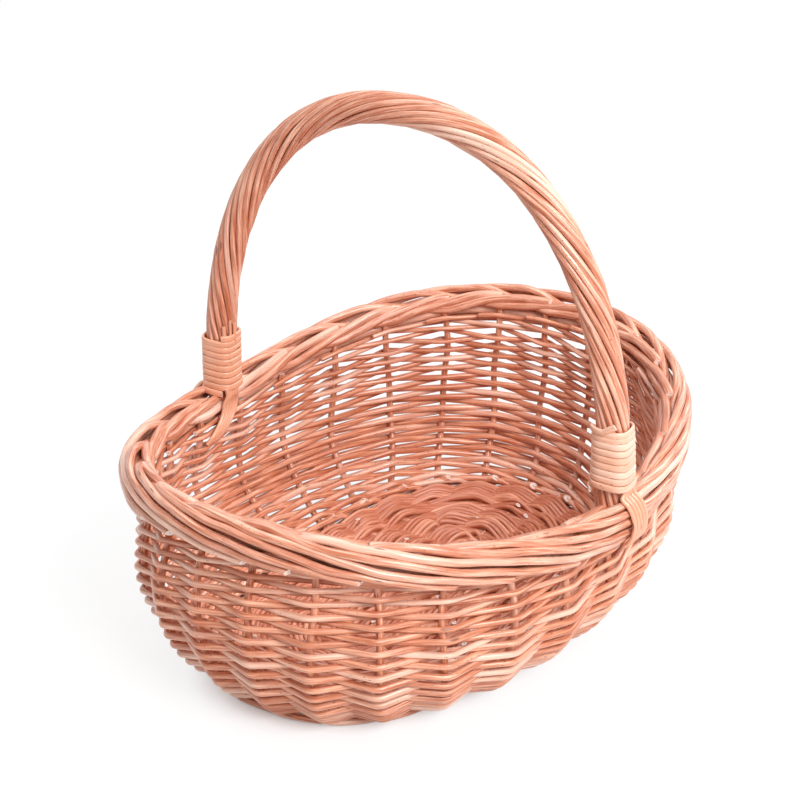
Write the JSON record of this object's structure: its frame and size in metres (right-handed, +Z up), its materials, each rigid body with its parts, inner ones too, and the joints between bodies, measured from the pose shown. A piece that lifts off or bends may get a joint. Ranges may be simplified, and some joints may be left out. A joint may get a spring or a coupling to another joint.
{
  "type": "willow foraging basket",
  "caption": "Oval open basket of woven buff willow with flared sides, a thick rolled border and a tall fixed bow handle bound at its feet.",
  "frame": {"origin": "on the ground, under the middle of the basket's bounding box", "axes": "+X along the oval's long way, Y along the span of the handle, +Z up"},
  "size_m": [0.4194, 0.339, 0.3548],
  "materials": {
    "buff_willow": "satin, peeled and boiled willow",
    "stout_willow": "satin, peeled and boiled willow, darker",
    "split_skein": "satin, split and shaved willow"
  },
  "bodies": {
    "root": {"base_mat_lower": "buff_willow", "base_mat_upper": "buff_willow", "cross_stick_1": "stout_willow", "cross_stick_2": "stout_willow", "cross_stick_3": "stout_willow", "cross_stick_4": "stout_willow", "cross_stick_5": "stout_willow", "cross_stick_6": "stout_willow", "long_stick_1": "stout_willow", "long_stick_2": "stout_willow", "long_stick_3": "stout_willow", "stake_01": "stout_willow", "stake_02": "stout_willow", "stake_03": "stout_willow", "stake_04": "stout_willow", "stake_05": "stout_willow", "stake_06": "stout_willow", "stake_07": "stout_willow", "stake_08": "stout_willow", "stake_09": "stout_willow", "stake_10": "stout_willow", "stake_11": "stout_willow", "stake_12": "stout_willow", "stake_13": "stout_willow", "stake_14": "stout_willow", "stake_15": "stout_willow", "stake_16": "stout_willow", "stake_17": "stout_willow", "stake_18": "stout_willow", "stake_19": "stout_willow", "stake_20": "stout_willow", "stake_21": "stout_willow", "stake_22": "stout_willow", "stake_23": "stout_willow", "stake_24": "stout_willow", "stake_25": "stout_willow", "stake_26": "stout_willow", "upsett": "stout_willow", "side_course_1": "buff_willow", "side_course_2": "buff_willow", "side_course_3": "buff_willow", "side_course_4": "buff_willow", "side_course_5": "buff_willow", "side_course_6": "buff_willow", "border": "buff_willow", "handle_core": "stout_willow", "handle_rod_1": "buff_willow", "handle_rod_2": "buff_willow", "handle_rod_3": "buff_willow", "handle_rod_4": "buff_willow", "handle_rod_5": "buff_willow", "handle_rod_6": "buff_willow", "handle_rod_7": "buff_willow", "handle_rod_8": "buff_willow", "binding_left": "split_skein", "binding_right": "split_skein", "tie_left_inner": "split_skein", "tie_left_outer": "split_skein", "tie_right_inner": "split_skein", "tie_right_outer": "split_skein"}
  },
  "joints": []
}
